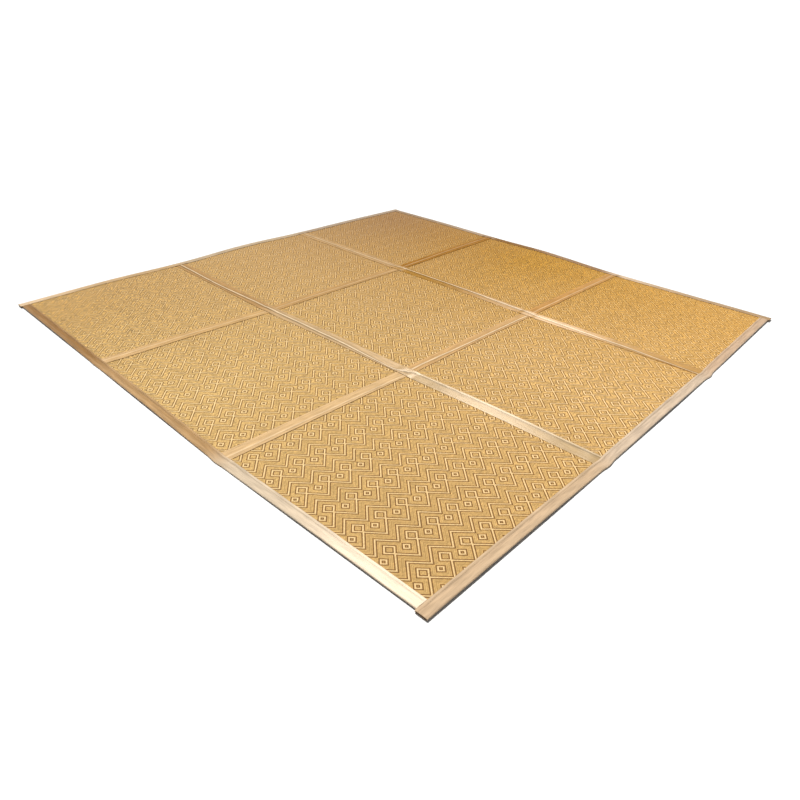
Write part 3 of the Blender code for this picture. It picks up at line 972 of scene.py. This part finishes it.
def makeRim(name):
    direction, level, start, end = rim[name]
    width = matLay["longWidth"] if direction == "x" else matLay["shortWidth"]
    crossings = range(1, matLay["panelCount"])
    lines = stationsAlong(start, end)
    rows = rimProfile()
    seed = {"front": 61, "right": 67, "back": 71, "left": 79}[name]

    def point(position, distance, height, steps):
        inward = distance if level == "low" else side - distance
        across, along = (position, inward) if direction == "x" else (inward, position)
        low, high = matLay["rimWidth"] / 2, side - matLay["rimWidth"] / 2
        z = sheetUnder(min(max(across, low), high), min(max(along, low), high)) + height
        if steps:
            z += stepOver(position, width, crossings)
        return (*place(across, along), z)

    def moved(i, j, which):
        section = rows[i]
        distance, height = section[which]
        steps = section[2]
        if distance > matLay["rimWidth"] * 0.6:
            distance += tapeShape["edgeWander"] * wander(lines[j], seed, tapeShape["wanderLength"])
        if i >= rim["foldRows"] and which == 1:
            height += rim["ripple"] * max(wander(lines[j], seed + i, tapeShape["puckerLength"]), 0)
        return point(lines[j], distance, height, steps)

    # painted shade and painted highlight across the rim's profile, over its section colour
    def tone(i, j):
        share, outer = rim["shading"][name]
        shade = 1 + (rows[i][3] - 1) * share
        return shaded(toneAndLightAt(name, lines[j]), shade * outer if i < rim["foldRows"] else shade)

    length = [0.0]
    for before, after in zip(rows, rows[1:]):
        length.append(length[-1] + math.dist(before[1], after[1]))
    shape = makeSheet(len(rows), len(lines), lambda i, j: moved(i, j, 0), lambda i, j: moved(i, j, 1),
                      lambda i, j: (lines[j], length[i]), tone)
    piece = addPiece(f"rimTape_{name}", shape, (rimTape,))
    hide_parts(f"binding_{name}")
    top = matLay["sheetThick"] + layer
    points = stitchPoints(max(start, 0) + 6 * mm, end - 8 * mm, lambda position: point(
        position, rim["stitchShare"] * matLay["rimWidth"], top, True))
    stitches = addStitches(f"rimStitches_{name}", points)


for number in range(1, matLay["panelCount"]):
    makeLongTape(number)
    for column in range(matLay["panelCount"]):
        makeShortTape(column, number)
for name in ("front", "right", "back", "left"):
    makeRim(name)
print("tapes are sewn on")


# Pale floor and soft studio light
studio = {
    "floorColor": "#F4F4F3",
    "floorSize": 300.0,
    "skyAbove": 0.17,            # fill from above
    "skyLow": 1.1,               # white surround at the floor's far edge
    "keyHeading": 18,            # degrees from +Y towards +X
    "keyHeight": 63,             # degrees over the floor
    "keySoftness": 7,            # degrees
    "keyStrength": 3.95,
}


def addStudio():
    floor = newMaterial("paleFloor")
    coordinates = addNode(floor, "ShaderNodeTexCoord").outputs["Object"]
    cloud = addNode(floor, "ShaderNodeTexNoise", {"Scale": 3.0}, {"Vector": coordinates})
    roughness = addNode(floor, "ShaderNodeMapRange", {"To Min": 0.55, "To Max": 0.65},
                        {"Value": cloud.outputs["Fac"]})
    shader = addNode(floor, "ShaderNodeBsdfPrincipled",
                     {"Base Color": hexColor(studio["floorColor"]), "Specular IOR Level": 0.1},
                     {"Roughness": roughness.outputs[0]})
    finishMaterial(floor, shader)
    shape = bmesh.new()
    bmesh.ops.create_grid(shape, x_segments=1, y_segments=1, size=studio["floorSize"] / 2)
    mesh = bpy.data.meshes.new("floor")
    shape.to_mesh(mesh)
    shape.free()
    mesh.materials.append(floor)
    ground = bpy.data.objects.new("floor", mesh)
    ground.location.z = -0.2 * mm
    bpy.context.scene.collection.objects.link(ground)
    lamp = bpy.data.lights.new("key", "SUN")
    lamp.energy, lamp.angle = studio["keyStrength"], math.radians(studio["keySoftness"])
    key = bpy.data.objects.new("key", lamp)
    heading, height = math.radians(studio["keyHeading"]), math.radians(studio["keyHeight"])
    towards = Vector((math.sin(heading) * math.cos(height), math.cos(heading) * math.cos(height),
                      math.sin(height)))
    key.rotation_euler = towards.to_track_quat("Z", "Y").to_euler()
    bpy.context.scene.collection.objects.link(key)
    world = bpy.data.worlds.new("studioWorld")
    world.use_nodes = True
    world.node_tree.nodes.clear()
    direction = addNode(world, "ShaderNodeTexCoord").outputs["Object"]
    parts = addNode(world, "ShaderNodeSeparateXYZ", {}, {0: direction})
    strength = addNode(world, "ShaderNodeMapRange",
                       {"From Min": 0.04, "From Max": 0.16, "To Min": studio["skyLow"],
                        "To Max": studio["skyAbove"]}, {"Value": parts.outputs[2]})
    seen = addNode(world, "ShaderNodeLightPath").outputs["Is Camera Ray"]
    # the surround looks white, also where it gives little light
    strength = calculate(world, "MAXIMUM", strength.outputs[0], seen)
    sky = addNode(world, "ShaderNodeBackground", {"Color": hexColor("#FFFFFF")}, {"Strength": strength})
    addNode(world, "ShaderNodeOutputWorld", {}, {"Surface": sky.outputs[0]})
    bpy.context.scene.world = world
    bpy.context.scene.view_settings.view_transform = "Standard"


addStudio()
print("studio is lit")
